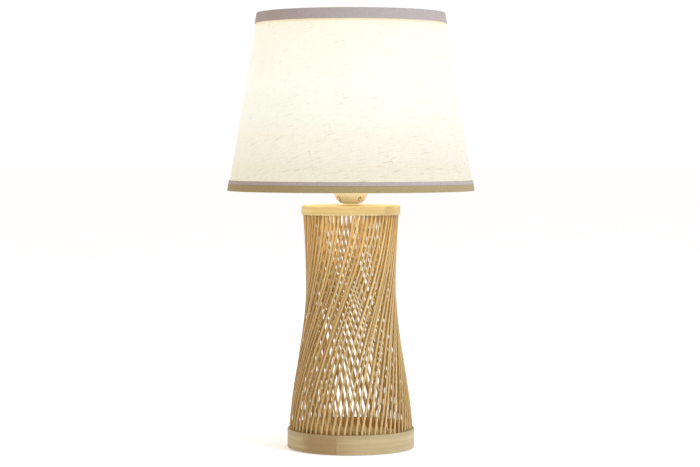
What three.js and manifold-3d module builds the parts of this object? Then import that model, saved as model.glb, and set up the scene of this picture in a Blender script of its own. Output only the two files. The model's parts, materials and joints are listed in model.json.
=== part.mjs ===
// Bamboo slat table lamp with a tapered linen drum shade.
// Millimetres, +Z up, the lamp's axis on Z and the tabletop at z = 0.
// Azimuths are measured about +Z from the front (-Y) towards +X.

import * as THREE from 'three';
import { mergeVertices } from 'three/addons/utils/BufferGeometryUtils.js';
import Module from 'manifold-3d';

// ---------------------------------------------------------------- driving dimensions

const GAP = 0.3; // clearance left between touching pieces

// Woven body: two layers of bent slats held between hoops.
const SLATS_PER_LAYER = 64;
const SECTORS_PER_LAYER = 8;
const SLAT_WIDTH = 2.2;
const SLAT_THICKNESS = 1.2;
const LAYER_SPACING = 3; // outer slats' middle to inner slats' middle
const GLUE_LINE = { bottom: 19.2, top: 21.6 };
const WAIST_HEIGHT = 188;
const WAIST_RADIUS = 50.4; // to the middle of an outer slat
const LOWER_FLARE = { growth: 19.9, reach: 190 };
const UPPER_FLARE = { growth: 6, reach: 150 };
const STEADY_TWIST = 0.0023; // radians per millimetre of height
const WAIST_TWIST = { angle: 0.357, height: 168, reach: 75 };
const STRAIGHT_TOP = { loss: 0.0033, reach: 9 }; // the slats run straighter just under the top hoops

// Base.
const BASE_HOOP = { bottom: 0.5, top: 22, thickness: 1.9 };
const BASE_INNER_HOOP_TOP = 26;
const BASE_DISC = { bottom: 1.3, top: 15.5 };
const BASE_PAD = { radius: 60, thickness: 1 };
const OUTLET = { height: 7.5, boreRadius: 3.2, tubeRadius: 4, flangeRadius: 5.5, flange: 1.2 };
const LEAD_HOLE_RADIUS = 5; // up through the middle of the base disc

// Top of the woven body.
const TOP_HOOP = { bottom: 264, top: 274.5, thickness: 1.7 };
const TOP_PLATE_THICKNESS = 4;
const INNER_HOOP_THICKNESS = 2.2;

// Lampholder, E27, on an M10 threaded tube.
const NIPPLE = { radius: 5, bore: 3.5, bottom: 263, top: 283 };
const NIPPLE_HOLE = NIPPLE.radius + GAP;
const WASHER = { radius: 11, thickness: 1.3 };
const NUT = { acrossFlats: 17, thickness: 3.7 };
const SPACER = { radius: 9, thickness: 1.9 };
const HOLDER_HEIGHT = 277; // underside of the lampholder's domed cap
const CAP_HEIGHT = 17;
const BARREL = { radius: 19.5, height: 37, seatRadius: 22.3, seat: 2.7 };
const INSERT = { bottom: 11.5, shoulder: 20.5, top: 24 };

// Bulb, E27 stick type.
const BULB_BASE = 27.7; // the bulb's centre contact, above the cap's underside
const BULB = { radius: 18.5, capRadius: 13.2, length: 121 };

// Shade.
const SHADE_BOTTOM = 291;
const SHADE = { height: 200, bottomRadius: 140, topRadius: 106.5 };
const TAPE = { height: 12, thickness: 0.7, fold: 0.6, lip: 3.4 };
const FABRIC_THICKNESS = 0.6;
const LINER_THICKNESS = 0.5;
const WIRE_RADIUS = 1.5;
const FITTER = { hole: 20.4, radius: 27, thickness: 1.5 };
const CLAMP_RING = { hole: 19.85, flangeRadius: 24.3, flange: 1.8, height: 9, ribs: 18 };

// Facets around a full circle.
const WIDE = 40;
const NARROW = 24;
const SMALL = 16;

// ---------------------------------------------------------------- materials

function finish(color, roughness, metalness = 0) {
  return new THREE.MeshStandardMaterial({ color, roughness, metalness });
}

const bambooSlat = finish(0xd9b071, 0.55);
const bambooHoop = finish(0xd8c08e, 0.5);
const bambooPale = finish(0xead295, 0.5);
const plywood = finish(0xc49a62, 0.7);
const felt = finish(0x3a332c, 0.95);
const blackRubber = finish(0x24211f, 0.8);
const zincSteel = finish(0xb9b7b0, 0.35, 1);
const brass = finish(0xc9a24d, 0.3, 1);
const creamPlastic = finish(0xefe0bd, 0.4);
const porcelain = finish(0xf4f1ea, 0.25);
const whitePlastic = finish(0xf5f4f0, 0.4);
const opalPlastic = finish(0xfff6e0, 0.3);
const darkGlass = finish(0x2b2540, 0.2);
const whiteWire = finish(0xe9e6df, 0.4, 0.3);
const linerFilm = finish(0xfbf3e2, 0.5);
const linen = finish(0xf4ead4, 0.9);
const tapeCloth = finish(0xa89d93, 0.9);

// ---------------------------------------------------------------- helpers

const wasm = await Module();
wasm.setup();

function piece(name, geometry, material) {
  const mesh = new THREE.Mesh(geometry, material);
  mesh.name = name;
  return mesh;
}

function group(height, ...children) {
  const result = new THREE.Group();
  result.position.z = height;
  result.add(...children);
  return result;
}

// A solid turned about Z. The outline's [radius, height] points run counterclockwise.
function turned(outline, facets) {
  const points = outline.map(([radius, height]) => new THREE.Vector2(radius, height));
  return new THREE.LatheGeometry(points, facets).rotateX(Math.PI / 2);
}

// A turned solid with a hole through it: its outline closes on itself.
function turnedRing(outline, facets) {
  return turned([...outline, outline[0]], facets);
}

function flatRing(hole, radius, bottom, top, facets) {
  return turnedRing([[hole, bottom], [radius, bottom], [radius, top], [hole, top]], facets);
}

function disc(radius, bottom, top, facets) {
  return turned([[0, bottom], [radius, bottom], [radius, top], [0, top]], facets);
}

function onCircle(radius, azimuth, height) {
  return new THREE.Vector3(radius * Math.sin(azimuth), -radius * Math.cos(azimuth), height);
}

// Turns a closed geometry into a manifold solid for a boolean.
function solidOf(geometry) {
  const bare = geometry.clone();
  bare.deleteAttribute('normal');
  bare.deleteAttribute('uv');
  const merged = mergeVertices(bare, 1e-4);
  const corners = merged.index.array;
  const kept = [];
  for (let i = 0; i < corners.length; i += 3) {
    const [a, b, c] = corners.slice(i, i + 3);
    if (a !== b && b !== c && c !== a) kept.push(a, b, c);
  }
  return new wasm.Manifold(new wasm.Mesh({
    numProp: 3,
    vertProperties: merged.attributes.position.array,
    triVerts: Uint32Array.from(kept),
  }));
}

function geometryOf(solid) {
  const mesh = solid.getMesh();
  const geometry = new THREE.BufferGeometry();
  geometry.setAttribute('position', new THREE.BufferAttribute(mesh.vertProperties, 3));
  geometry.setIndex(new THREE.BufferAttribute(mesh.triVerts, 1));
  geometry.computeVertexNormals();
  return geometry;
}

function joined(geometries) {
  return geometries.map(solidOf).reduce((whole, next) => whole.add(next));
}

function cut(geometry, cutters) {
  const rest = cutters.map(solidOf).reduce((whole, next) => whole.subtract(next), solidOf(geometry));
  return geometryOf(rest);
}

// ---------------------------------------------------------------- shape of the woven body

// Distance from the axis to the middle of an outer slat.
function slatRadius(height) {
  const held = THREE.MathUtils.clamp(height, BASE_INNER_HOOP_TOP, TOP_HOOP.bottom);
  const { growth, reach } = held < WAIST_HEIGHT ? LOWER_FLARE : UPPER_FLARE;
  const rise = Math.abs(held - WAIST_HEIGHT) / reach;
  return WAIST_RADIUS + growth * (1 - Math.cos(Math.PI * rise)) / 2;
}

// How far a slat has turned about the axis since it left the base hoops.
function slatTwist(height) {
  const held = THREE.MathUtils.clamp(height, BASE_INNER_HOOP_TOP, TOP_HOOP.bottom);
  const bend = (z) => WAIST_TWIST.angle * Math.tanh((z - WAIST_TWIST.height) / WAIST_TWIST.reach);
  const { loss, reach } = STRAIGHT_TOP;
  const straight = loss * reach * Math.exp((held - TOP_HOOP.bottom) / reach);
  return STEADY_TWIST * (held - BASE_INNER_HOOP_TOP) + bend(held) - bend(BASE_INNER_HOOP_TOP) - straight;
}

const SLAT_STATIONS = [1, BASE_INNER_HOOP_TOP, 86, 146, 205, TOP_HOOP.bottom, 270.2];
const BASE_RADIUS = slatRadius(BASE_INNER_HOOP_TOP);
const TOP_RADIUS = slatRadius(TOP_HOOP.bottom);

const outerLayer = { name: 'slats_outer', inset: 0, twist: 0.976, start: -0.2 };
const innerLayer = { name: 'slats_inner', inset: LAYER_SPACING, twist: -1.024, start: 3.44 };

// Bends a flat strip, x along its width and y through its thickness, round the body.
// Each station along the strip's z has its own height, radius and azimuth.
function bent(width, thickness, columns, stations) {
  const spans = stations.length - 1;
  const strip = new THREE.BoxGeometry(width, thickness, spans, columns, 1, spans);
  const position = strip.attributes.position;
  for (let i = 0; i < position.count; i += 1) {
    const station = stations[Math.round(position.getZ(i) + spans / 2)];
    const azimuth = station.azimuth + position.getX(i) / station.radius;
    const point = onCircle(station.radius - position.getY(i), azimuth, station.height);
    position.setXYZ(i, point.x, point.y, point.z);
  }
  return strip;
}

function slat(layer, azimuth) {
  const stations = SLAT_STATIONS.map((height) => ({
    height,
    radius: slatRadius(height) - layer.inset,
    azimuth: azimuth + layer.twist * slatTwist(height),
  }));
  return bent(SLAT_WIDTH, SLAT_THICKNESS, 1, stations);
}

const SLAT_PITCH = 2 * Math.PI / SLATS_PER_LAYER;
const SLATS_PER_SECTOR = SLATS_PER_LAYER / SECTORS_PER_LAYER;

// The glue line that ties a sector's slats together, hidden between the base hoops.
function glueLine(layer, azimuth, span) {
  const radius = BASE_RADIUS - layer.inset;
  const stations = [GLUE_LINE.bottom, GLUE_LINE.top].map((height) => ({ height, radius, azimuth }));
  return bent(span * radius, SLAT_THICKNESS - 0.2, SLATS_PER_SECTOR - 1, stations);
}

// The drilled way through the hoops and slats for the lead's bush, at the back.
function outletDrill() {
  const drill = new THREE.CylinderGeometry(OUTLET.tubeRadius + GAP, OUTLET.tubeRadius + GAP, 20, SMALL);
  return drill.translate(0, BASE_RADIUS - 2, OUTLET.height);
}

// The slats in the way of the bush end above it.
function slatNotch() {
  const notch = new THREE.BoxGeometry(2 * (OUTLET.tubeRadius + GAP), 20, OUTLET.height);
  return notch.translate(0, BASE_RADIUS - 2, OUTLET.height / 2);
}

function slatSector(layer, sector) {
  const first = THREE.MathUtils.degToRad(layer.start) + sector * SLATS_PER_SECTOR * SLAT_PITCH;
  const slats = [];
  for (let i = 0; i < SLATS_PER_SECTOR; i += 1) {
    slats.push(slat(layer, first + i * SLAT_PITCH));
  }
  const middle = first + (SLATS_PER_SECTOR - 1) * SLAT_PITCH / 2;
  const span = (SLATS_PER_SECTOR - 1) * SLAT_PITCH;
  const solid = joined([...slats, glueLine(layer, middle, span)]);
  return geometryOf(solid.subtract(joined([outletDrill(), slatNotch()])));
}

function slatLayer(layer) {
  const sectors = [];
  for (let sector = 0; sector < SECTORS_PER_LAYER; sector += 1) {
    sectors.push(piece(`${layer.name}_${sector + 1}`, slatSector(layer, sector), bambooSlat));
  }
  return sectors;
}

// ---------------------------------------------------------------- hoops

// The three hoops that hold both slat layers at one end of the body.
function hoopSet(prefix, slatMiddle, hoop, innerHoop, material, drill) {
  const clear = SLAT_THICKNESS / 2 + GAP;
  const innerSlats = slatMiddle - LAYER_SPACING;
  const outerHole = slatMiddle + clear;
  const outer = flatRing(outerHole, outerHole + hoop.thickness, hoop.bottom, hoop.top, WIDE);
  const { bottom, middleTop } = innerHoop;
  const middle = flatRing(innerSlats + clear, slatMiddle - clear, bottom, middleTop, WIDE);
  const innerRadius = innerSlats - clear;
  const inner = flatRing(innerRadius - INNER_HOOP_THICKNESS, innerRadius, bottom, innerHoop.top, WIDE);
  const drilled = drill ? (ring) => cut(ring, [drill]) : (ring) => ring;
  return [
    piece(`${prefix}_hoop_outer`, drilled(outer), material),
    piece(`${prefix}_hoop_middle`, drilled(middle), bambooHoop),
    piece(`${prefix}_hoop_inner`, drilled(inner), bambooHoop),
  ];
}

// ---------------------------------------------------------------- base

function cordBush() {
  const hoopFace = BASE_RADIUS + SLAT_THICKNESS / 2 + GAP + BASE_HOOP.thickness;
  const tube = flatRing(OUTLET.boreRadius, OUTLET.tubeRadius, 0, 12, SMALL);
  const flange = flatRing(OUTLET.boreRadius, OUTLET.flangeRadius, 0, OUTLET.flange, SMALL);
  const bush = piece('cord_bush', geometryOf(joined([tube, flange])), blackRubber);
  bush.rotation.x = Math.PI / 2;
  bush.position.set(0, hoopFace + GAP + OUTLET.flange, OUTLET.height);
  return bush;
}

// The groove under the base disc that takes the lead from the middle to the back.
function leadGroove(length) {
  const width = 2 * (OUTLET.tubeRadius + GAP);
  const height = OUTLET.height + width / 2;
  const groove = new THREE.BoxGeometry(width, length, height).translate(0, length / 2, height / 2);
  const hole = new THREE.CylinderGeometry(LEAD_HOLE_RADIUS, LEAD_HOLE_RADIUS, 40, SMALL);
  return [groove, hole.rotateX(Math.PI / 2)];
}

function base() {
  const discRadius = BASE_RADIUS - LAYER_SPACING - SLAT_THICKNESS / 2 - GAP - INNER_HOOP_THICKNESS - GAP;
  const innerHoop = { bottom: BASE_HOOP.bottom, middleTop: BASE_HOOP.top, top: BASE_INNER_HOOP_TOP };
  const solidDisc = disc(discRadius, BASE_DISC.bottom, BASE_DISC.top, WIDE);
  return group(
    0,
    piece('base_pad', disc(BASE_PAD.radius, 0, BASE_PAD.thickness, WIDE), felt),
    piece('base_disc', cut(solidDisc, leadGroove(discRadius + 5)), plywood),
    ...hoopSet('base', BASE_RADIUS, BASE_HOOP, innerHoop, bambooHoop, outletDrill()),
    cordBush(),
  );
}

// ---------------------------------------------------------------- top of the body

function hexNut(bottom, top) {
  const outline = new THREE.Shape();
  const corner = NUT.acrossFlats / 2 / Math.cos(Math.PI / 6);
  for (let i = 0; i < 6; i += 1) {
    const turn = i * Math.PI / 3;
    outline[i === 0 ? 'moveTo' : 'lineTo'](corner * Math.cos(turn), corner * Math.sin(turn));
  }
  outline.closePath();
  outline.holes.push(new THREE.Path().absarc(0, 0, NIPPLE_HOLE, 0, 2 * Math.PI, true));
  const settings = { depth: top - bottom, bevelEnabled: false, curveSegments: 10 };
  return new THREE.ExtrudeGeometry(outline, settings).translate(0, 0, bottom);
}

function top() {
  const plateBottom = TOP_HOOP.top - TOP_PLATE_THICKNESS;
  const plateRadius = TOP_RADIUS + SLAT_THICKNESS / 2;
  const hoopTop = plateBottom - GAP;
  const innerHoop = { bottom: TOP_HOOP.bottom, middleTop: hoopTop, top: hoopTop };
  const washerTop = plateBottom - GAP;
  const washerBottom = washerTop - WASHER.thickness;
  const nutBottom = washerBottom - GAP - NUT.thickness;
  const spacerBottom = TOP_HOOP.top + GAP;
  const spacerTop = spacerBottom + SPACER.thickness;
  const plate = flatRing(NIPPLE_HOLE, plateRadius, plateBottom, TOP_HOOP.top, WIDE);
  const washer = flatRing(NIPPLE_HOLE, WASHER.radius, washerBottom, washerTop, SMALL);
  const nipple = flatRing(NIPPLE.bore, NIPPLE.radius, NIPPLE.bottom, NIPPLE.top, SMALL);
  const spacer = flatRing(NIPPLE_HOLE, SPACER.radius, spacerBottom, spacerTop, SMALL);
  return group(
    0,
    ...hoopSet('top', TOP_RADIUS, TOP_HOOP, innerHoop, bambooPale, null),
    piece('top_plate', plate, bambooPale),
    piece('nipple_washer', washer, zincSteel),
    piece('nipple_nut', hexNut(nutBottom, nutBottom + NUT.thickness), zincSteel),
    piece('holder_nipple', nipple, zincSteel),
    piece('holder_spacer', spacer, creamPlastic),
  );
}

// ---------------------------------------------------------------- lampholder

// One of the four oblong slots in the cap's shoulder, its length up the slope.
function capSlot(azimuth) {
  const halfLength = 2.6;
  const halfWidth = 2;
  const outline = new THREE.Shape();
  outline.absarc(0, halfLength, halfWidth, 0, Math.PI, false);
  outline.absarc(0, -halfLength, halfWidth, Math.PI, 2 * Math.PI, false);
  outline.closePath();
  const settings = { depth: 8, bevelEnabled: false, curveSegments: 3 };
  const slope = THREE.MathUtils.degToRad(53);
  return new THREE.ExtrudeGeometry(outline, settings)
    .translate(0, 0, -4)
    .rotateX(slope)
    .translate(0, -15.6, 4.9)
    .rotateZ(azimuth);
}

function holderCap() {
  const shell = turnedRing([
    [NIPPLE_HOLE, 0], [12.4, 0], [16.4, 4.6], [18.6, 8], [19.5, 11], [19.5, CAP_HEIGHT],
    [17.9, CAP_HEIGHT], [17.9, 11.2], [17.2, 8.8], [15.2, 5.6], [11.8, 2], [NIPPLE_HOLE, 2],
  ], NARROW);
  const slots = [0, 1, 2, 3].map((quarter) => capSlot(THREE.MathUtils.degToRad(37 + 90 * quarter)));
  return cut(shell, slots);
}

function holderBarrel() {
  const { radius, height, seatRadius, seat } = BARREL;
  return turnedRing([
    [17.4, 0], [seatRadius, 0], [seatRadius, seat], [radius, seat], [radius, height - 0.8],
    [radius - 0.8, height], [14.6, height], [14.6, height - 1.8], [17.4, height - 1.8],
  ], NARROW);
}

function holderInsert() {
  const { bottom, shoulder, top: crown } = INSERT;
  const body = turned([
    [0, bottom], [16.4, bottom], [16.4, shoulder], [12.8, shoulder], [12.8, crown], [0, crown],
  ], NARROW);
  const holes = [-1, 1].map((side) => {
    const hole = new THREE.CylinderGeometry(1.7, 1.7, 8, 12).rotateX(Math.PI / 2);
    return hole.translate(side * 9.5, 0, bottom + 2.8);
  });
  return cut(body, holes);
}

function screwShell() {
  const bottom = INSERT.top + GAP;
  return turnedRing([
    [4.5, bottom], [14.2, bottom], [14.2, bottom + 24.7], [13.75, bottom + 24.7],
    [13.75, bottom + 0.5], [4.5, bottom + 0.5],
  ], NARROW);
}

// The sprung tongue that the bulb's tip presses on.
function centreContact() {
  const outline = new THREE.Shape([
    [-3.4, 0], [-1, 0], [1.6, 2.6], [3.2, 2.6], [3.2, 3.1], [1.4, 3.1], [-1.2, 0.5], [-3.4, 0.5],
  ].map(([x, y]) => new THREE.Vector2(x, y)));
  const strip = new THREE.ExtrudeGeometry(outline, { depth: 4, bevelEnabled: false });
  return strip.translate(0, 0, -2).rotateX(Math.PI / 2);
}

function terminalScrew(name, x) {
  const outline = [[0, 0], [2.4, 0], [2.4, 1.6], [1.4, 1.6], [1.4, 8.2], [0, 8.2]];
  const screw = piece(name, turned(outline, 12), brass);
  screw.position.set(x, 0, INSERT.bottom - GAP - 1.6);
  return screw;
}

function lampholder() {
  const barrel = piece('holder_barrel', holderBarrel(), creamPlastic);
  barrel.position.z = CAP_HEIGHT + GAP;
  const contact = piece('centre_contact', centreContact(), brass);
  contact.position.z = INSERT.top + GAP;
  return group(
    HOLDER_HEIGHT,
    piece('holder_cap', holderCap(), creamPlastic),
    barrel,
    piece('holder_insert', holderInsert(), porcelain),
    piece('screw_shell', screwShell(), brass),
    contact,
    terminalScrew('terminal_screw_1', -9.5),
    terminalScrew('terminal_screw_2', 9.5),
  );
}

// ---------------------------------------------------------------- bulb

function roundedTop(radius, height, springLine, steps) {
  const points = [];
  for (let i = 0; i <= steps; i += 1) {
    const turn = i / steps * Math.PI / 2;
    points.push([radius * Math.cos(turn), springLine + (height - springLine) * Math.sin(turn)]);
  }
  points[steps][0] = 0;
  return points;
}

function bulbGlobe() {
  const wall = 1.3;
  const springLine = BULB.length - 15;
  const steps = 4;
  const rim = 44.3;
  const outside = roundedTop(BULB.radius, BULB.length, springLine, steps);
  const inside = roundedTop(BULB.radius - wall, BULB.length - wall, springLine, steps).reverse();
  const outerRim = [BULB.radius, rim];
  return turned([outerRim, ...outside, ...inside, [BULB.radius - wall, rim], outerRim], 24);
}

function bulb() {
  const { radius, capRadius } = BULB;
  const cap = turned([
    [0, 6.3], [12.6, 6.3], [capRadius, 7.2], [capRadius, 25.7], [12.6, 25.7], [12.6, 7.2], [0, 7.2],
  ], 24);
  const housing = turnedRing([
    [11.6, 26], [capRadius, 26], [13.6, 29], [radius, 42], [radius, 44],
    [16.9, 44], [16.9, 42.4], [11.9, 29],
  ], 24);
  return group(
    HOLDER_HEIGHT + BULB_BASE,
    piece('bulb_contact', turned([[0, 0], [3.2, 0.3], [4.4, 1.6], [0, 1.6]], 16), zincSteel),
    piece('bulb_insulator', turned([[0, 1.9], [5.2, 1.9], [12, 5.6], [12, 6], [0, 6]], 24), darkGlass),
    piece('bulb_cap', cap, zincSteel),
    piece('bulb_housing', housing, whitePlastic),
    piece('bulb_led_board', disc(16.2, 44.3, 45.9, 24), whitePlastic),
    piece('bulb_globe', bulbGlobe(), opalPlastic),
  );
}

// ---------------------------------------------------------------- shade

// Radius of the shade's outside at a height above its bottom edge.
function shadeRadius(height) {
  return SHADE.bottomRadius + (SHADE.topRadius - SHADE.bottomRadius) * height / SHADE.height;
}

// A tapered skin, inset from the shade's outside, between two heights.
function shadeSkin(inset, thickness) {
  const bottom = TAPE.fold + GAP;
  const crown = SHADE.height - TAPE.fold - GAP;
  return turnedRing([
    [shadeRadius(bottom) - inset - thickness, bottom],
    [shadeRadius(bottom) - inset, bottom],
    [shadeRadius(crown) - inset, crown],
    [shadeRadius(crown) - inset - thickness, crown],
  ], WIDE);
}

const FABRIC_INSET = TAPE.thickness + GAP;
const LINER_INSET = FABRIC_INSET + FABRIC_THICKNESS + GAP;
const WIRE_INSET = LINER_INSET + LINER_THICKNESS + GAP + WIRE_RADIUS;
const WIRE_STAND = TAPE.fold + GAP + WIRE_RADIUS;

// A binding tape folded over an edge wire. towards is +1 at the bottom edge, -1 at the top.
function bindingTape(edge, towards) {
  const at = (depth) => edge + towards * depth;
  const outside = (depth, inset) => [shadeRadius(at(depth)) - inset, at(depth)];
  const lip = shadeRadius(at(WIRE_STAND)) - WIRE_INSET - WIRE_RADIUS - GAP;
  const outline = [
    [lip - TAPE.fold, at(0)],
    outside(0, 0),
    outside(TAPE.height, 0),
    outside(TAPE.height, TAPE.thickness),
    outside(TAPE.fold, TAPE.thickness),
    [lip, at(TAPE.fold)],
    [lip, at(TAPE.lip)],
    [lip - TAPE.fold, at(TAPE.lip)],
  ];
  return turnedRing(towards > 0 ? outline : outline.reverse(), WIDE);
}

function edgeWire(edge, towards) {
  const height = edge + towards * WIRE_STAND;
  const radius = shadeRadius(height) - WIRE_INSET;
  const section = [];
  for (let i = 0; i < 6; i += 1) {
    const turn = i * Math.PI / 3;
    section.push([radius + WIRE_RADIUS * Math.cos(turn), height + WIRE_RADIUS * Math.sin(turn)]);
  }
  return turnedRing(section, WIDE);
}

function shadeArm(name, azimuth, fitterMiddle) {
  const restHeight = WIRE_STAND + WIRE_RADIUS + GAP + WIRE_RADIUS;
  const start = onCircle(FITTER.radius + GAP, azimuth, fitterMiddle);
  const end = onCircle(shadeRadius(restHeight) - LINER_INSET - LINER_THICKNESS - 0.8, azimuth, restHeight);
  const rod = new THREE.CylinderGeometry(WIRE_RADIUS, WIRE_RADIUS, start.distanceTo(end), 8);
  const arm = piece(name, rod, whiteWire);
  arm.position.copy(start).lerp(end, 0.5);
  arm.quaternion.setFromUnitVectors(new THREE.Vector3(0, 1, 0), end.clone().sub(start).normalize());
  return arm;
}

// The threaded ring that clamps the fitter to the lampholder, ribbed for the fingers.
function clampRing() {
  const { hole, flangeRadius, flange, height, ribs } = CLAMP_RING;
  const outline = new THREE.Shape();
  for (let i = 0; i < 4 * ribs; i += 1) {
    const radius = i % 4 < 2 ? 22.6 : 21.8;
    const turn = i / (4 * ribs) * 2 * Math.PI;
    outline[i === 0 ? 'moveTo' : 'lineTo'](radius * Math.cos(turn), radius * Math.sin(turn));
  }
  outline.closePath();
  outline.holes.push(new THREE.Path().absarc(0, 0, hole, 0, 2 * Math.PI, true));
  const settings = { depth: height, bevelEnabled: false, curveSegments: NARROW };
  const grip = new THREE.ExtrudeGeometry(outline, settings);
  return geometryOf(joined([grip, flatRing(hole, flangeRadius, 0, flange, NARROW)]));
}

function shade() {
  const seatTop = HOLDER_HEIGHT + CAP_HEIGHT + GAP + BARREL.seat - SHADE_BOTTOM;
  const fitterBottom = seatTop + GAP;
  const fitterTop = fitterBottom + FITTER.thickness;
  const ring = piece('clamp_ring', clampRing(), creamPlastic);
  ring.position.z = fitterTop + GAP;
  const arms = [1, 2, 3].map((arm) => {
    const azimuth = arm * 2 * Math.PI / 3 - Math.PI / 3;
    return shadeArm(`shade_arm_${arm}`, azimuth, (fitterBottom + fitterTop) / 2);
  });
  return group(
    SHADE_BOTTOM,
    piece('fitter_ring', flatRing(FITTER.hole, FITTER.radius, fitterBottom, fitterTop, NARROW), whiteWire),
    ring,
    ...arms,
    piece('shade_wire_bottom', edgeWire(0, 1), whiteWire),
    piece('shade_wire_top', edgeWire(SHADE.height, -1), whiteWire),
    piece('shade_liner', shadeSkin(LINER_INSET, LINER_THICKNESS), linerFilm),
    piece('shade_fabric', shadeSkin(FABRIC_INSET, FABRIC_THICKNESS), linen),
    piece('shade_tape_bottom', bindingTape(0, 1), tapeCloth),
    piece('shade_tape_top', bindingTape(SHADE.height, -1), tapeCloth),
  );
}

// ---------------------------------------------------------------- the whole lamp

const lamp = new THREE.Group();
lamp.add(base());
lamp.add(group(0, ...slatLayer(outerLayer), ...slatLayer(innerLayer)));
lamp.add(top(), lampholder(), bulb(), shade());

export default lamp;
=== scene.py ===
# Visual model of the bamboo slat table lamp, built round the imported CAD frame.
# Metres, +Z up, front towards -Y. Azimuths run from the front (-Y) towards +X.
import json
import math
from functools import partialmethod

import bmesh
import bpy
import numpy as np
from mathutils import Matrix, Vector

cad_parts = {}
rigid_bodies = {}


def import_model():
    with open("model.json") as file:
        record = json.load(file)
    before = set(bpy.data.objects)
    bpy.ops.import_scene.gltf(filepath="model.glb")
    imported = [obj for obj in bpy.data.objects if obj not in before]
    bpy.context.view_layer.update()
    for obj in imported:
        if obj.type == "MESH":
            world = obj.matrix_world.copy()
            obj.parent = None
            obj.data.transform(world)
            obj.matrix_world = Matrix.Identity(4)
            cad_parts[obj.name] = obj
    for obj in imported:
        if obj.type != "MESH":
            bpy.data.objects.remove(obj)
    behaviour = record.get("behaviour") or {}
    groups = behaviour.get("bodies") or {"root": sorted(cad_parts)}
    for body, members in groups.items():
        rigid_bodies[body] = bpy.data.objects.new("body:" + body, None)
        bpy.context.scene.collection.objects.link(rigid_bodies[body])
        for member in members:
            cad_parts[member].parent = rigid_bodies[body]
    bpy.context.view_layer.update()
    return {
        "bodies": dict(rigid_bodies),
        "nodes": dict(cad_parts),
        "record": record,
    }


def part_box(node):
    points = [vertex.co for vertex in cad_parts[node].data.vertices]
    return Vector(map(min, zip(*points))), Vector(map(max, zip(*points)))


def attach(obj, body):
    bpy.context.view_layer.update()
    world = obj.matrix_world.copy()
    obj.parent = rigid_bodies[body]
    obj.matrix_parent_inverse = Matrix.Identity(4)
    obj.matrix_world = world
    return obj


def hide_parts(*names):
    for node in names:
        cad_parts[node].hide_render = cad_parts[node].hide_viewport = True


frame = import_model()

MM = 0.001
TURN = 2 * math.pi
rng = np.random.default_rng(64)

# ---- the body's driving shape

SLATS_PER_LAYER = 64
SECTORS_PER_LAYER = 8
SLAT_WIDTH = 2.24 * MM
SLAT_THICKNESS = 1.2 * MM
LAYER_SPACING = 3 * MM
HELD_LOW = 26 * MM
HELD_HIGH = 264 * MM
WAIST_HEIGHT = 188 * MM
WAIST_RADIUS = 50.4 * MM
LOWER_FLARE = (19.9 * MM, 190 * MM)
UPPER_FLARE = (6 * MM, 150 * MM)
STEADY_TWIST = 2.3  # radians per metre
WAIST_TWIST = (0.357, 168 * MM, 75 * MM)
STRAIGHT_TOP = (3.3, 9 * MM)  # how far the twist lets go under the top hoops, and over what height
OUTLET_HEIGHT = 7.5 * MM
OUTLET_HOLE = 4.2 * MM

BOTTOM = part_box("shade_tape_bottom")[0].z
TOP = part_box("shade_tape_top")[1].z
SHADE_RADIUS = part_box("shade_tape_bottom")[1].x

# The shade's cloth is cut flat as a sector of a ring. Its threads run straight in that flat cut.
SHADE_TAPER = 33.5 / 200
CONE_SINE = SHADE_TAPER / math.hypot(1, SHADE_TAPER)
GRAIN_AZIMUTH = math.radians(75)  # where the weft runs level
SEAM_AZIMUTH = math.radians(180)
LAP = 10 * MM


def slat_radius(height):
    """Distance from the axis to the middle of an outer slat."""
    held = min(max(height, HELD_LOW), HELD_HIGH)
    growth, reach = LOWER_FLARE if held < WAIST_HEIGHT else UPPER_FLARE
    rise = abs(held - WAIST_HEIGHT) / reach
    return WAIST_RADIUS + growth * (1 - math.cos(math.pi * rise)) / 2


def slat_twist(height):
    """How far a slat has turned about the axis since it left the base hoops."""
    held = min(max(height, HELD_LOW), HELD_HIGH)
    angle, middle, spread = WAIST_TWIST

    def bend(z):
        return angle * math.tanh((z - middle) / spread)

    loss, reach = STRAIGHT_TOP
    straight = loss * reach * math.exp((held - HELD_HIGH) / reach)
    return STEADY_TWIST * (held - HELD_LOW) + bend(held) - bend(HELD_LOW) - straight


def on_circle(radius, azimuth, height):
    return (radius * math.sin(azimuth), -radius * math.cos(azimuth), height)


# ---- mesh helpers

BODY_OF = {node: body for body, nodes in frame["record"]["behaviour"]["bodies"].items() for node in nodes}


def added(name, data):
    """A new object in the scene."""
    item = bpy.data.objects.new(name, data)
    bpy.context.scene.collection.objects.link(item)
    return item


def shown(name, mesh, finish, node, sharp=40):
    """Makes a mesh the finished piece that stands for a CAD node and rides on its body."""
    piece = added(name, mesh)
    mesh.materials.clear()
    mesh.materials.append(finish.material)
    mesh.shade_smooth()
    mesh.set_sharp_from_angle(angle=math.radians(sharp))
    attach(piece, BODY_OF[node])
    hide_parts(node)
    return piece


def mesh_of(points, faces, **layers):
    """A mesh with outward normals. Each layer holds a number or a vector per point for the materials."""
    mesh = bpy.data.meshes.new("mesh")
    mesh.from_pydata([tuple(p) for p in points], [], faces)
    for name, values in layers.items():
        values = np.asarray(values, np.float32)
        kind, field = ("FLOAT_VECTOR", "vector") if values.ndim == 2 else ("FLOAT", "value")
        mesh.attributes.new(name, kind, "POINT").data.foreach_set(field, values.ravel())
    tidy = bmesh.new()
    tidy.from_mesh(mesh)
    bmesh.ops.recalc_face_normals(tidy, faces=tidy.faces)
    tidy.to_mesh(mesh)
    tidy.free()
    return mesh


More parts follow.
